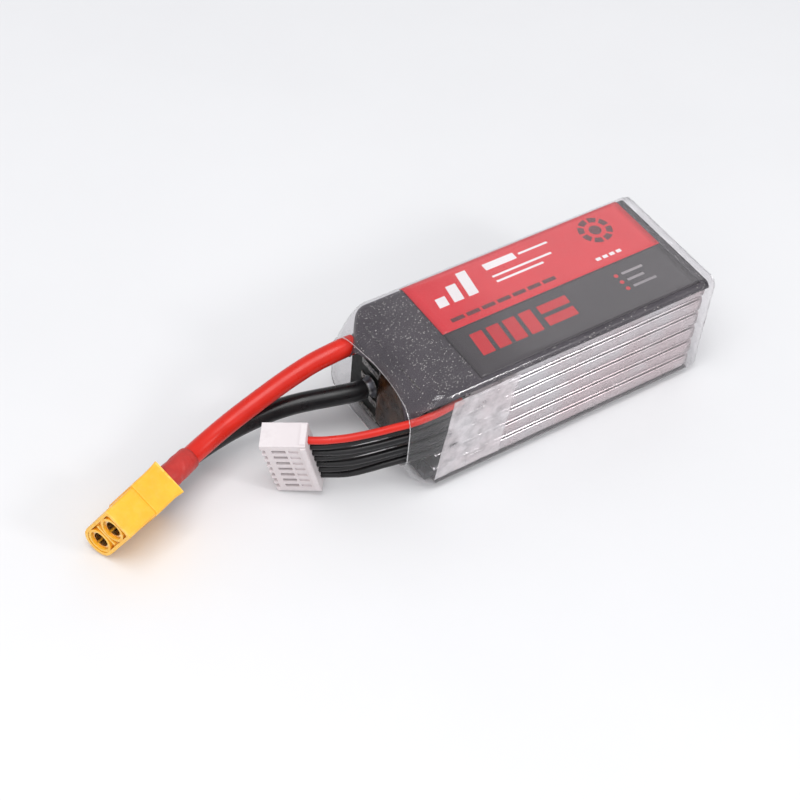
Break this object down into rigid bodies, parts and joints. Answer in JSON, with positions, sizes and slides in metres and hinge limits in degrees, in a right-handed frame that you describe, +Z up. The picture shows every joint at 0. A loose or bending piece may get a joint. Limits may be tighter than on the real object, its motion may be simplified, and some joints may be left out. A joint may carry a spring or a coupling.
{
  "type": "lithium polymer battery pack",
  "caption": "Wrapped stack of flat pouch cells with a red and a black power lead to a yellow two-pole socket and a flat balance lead to a white plug.",
  "frame": {"origin": "centre of the underside of the wrapped pack, without its leads", "axes": "+X along the pack away from the leads, +Y across the pack towards the power leads' side, +Z up through the stack of cells"},
  "size_m": [0.147, 0.034, 0.029],
  "materials": {
    "pouch": "satin laminated foil",
    "pad": "double-sided tape",
    "plus_tab": "bare strip",
    "minus_tab": "nickel-plated strip",
    "board": "glass-fibre board",
    "amber_tape": "polyimide film",
    "solder": "bright solder",
    "foam": "soft foam",
    "speckled_paper": "speckled insulation paper",
    "label": "printed red and charcoal",
    "plain_label": "plain grey",
    "side_tape": "milky tape",
    "clear_film": "clear shrink film",
    "red_silicone": "silicone insulation",
    "black_silicone": "silicone insulation",
    "red_sleeve": "heat-shrink sleeve",
    "black_sleeve": "heat-shrink sleeve",
    "yellow_nylon": "moulded nylon",
    "gold_contact": "gold plating",
    "white_nylon": "moulded nylon",
    "tin_contact": "tin plating"
  },
  "bodies": {
    "root": {"cell_1": "pouch", "cell_2": "pouch", "cell_3": "pouch", "cell_4": "pouch", "cell_5": "pouch", "cell_6": "pouch", "cell_pad_1": "pad", "cell_pad_2": "pad", "cell_pad_3": "pad", "cell_pad_4": "pad", "cell_pad_5": "pad", "positive_tabs": "plus_tab", "negative_tabs": "minus_tab", "tab_board": "board", "board_tape": "amber_tape", "lead_solder": "solder", "balance_taps": "minus_tab", "top_foam": "foam", "bottom_foam": "foam", "top_paper": "speckled_paper", "bottom_paper": "speckled_paper", "top_label": "label", "bottom_label": "plain_label", "near_side_tape": "side_tape", "far_side_tape": "side_tape", "shrink_film": "clear_film", "main_lead_red": "red_silicone", "main_lead_black": "black_silicone", "heat_shrink_red": "red_sleeve", "heat_shrink_black": "black_sleeve", "power_housing": "yellow_nylon", "power_contacts": "gold_contact", "balance_wire_1": "red_silicone", "balance_wire_2": "black_silicone", "balance_wire_3": "black_silicone", "balance_wire_4": "black_silicone", "balance_wire_5": "black_silicone", "balance_wire_6": "black_silicone", "balance_wire_7": "black_silicone", "balance_housing": "white_nylon", "balance_contacts": "tin_contact"}
  },
  "joints": []
}
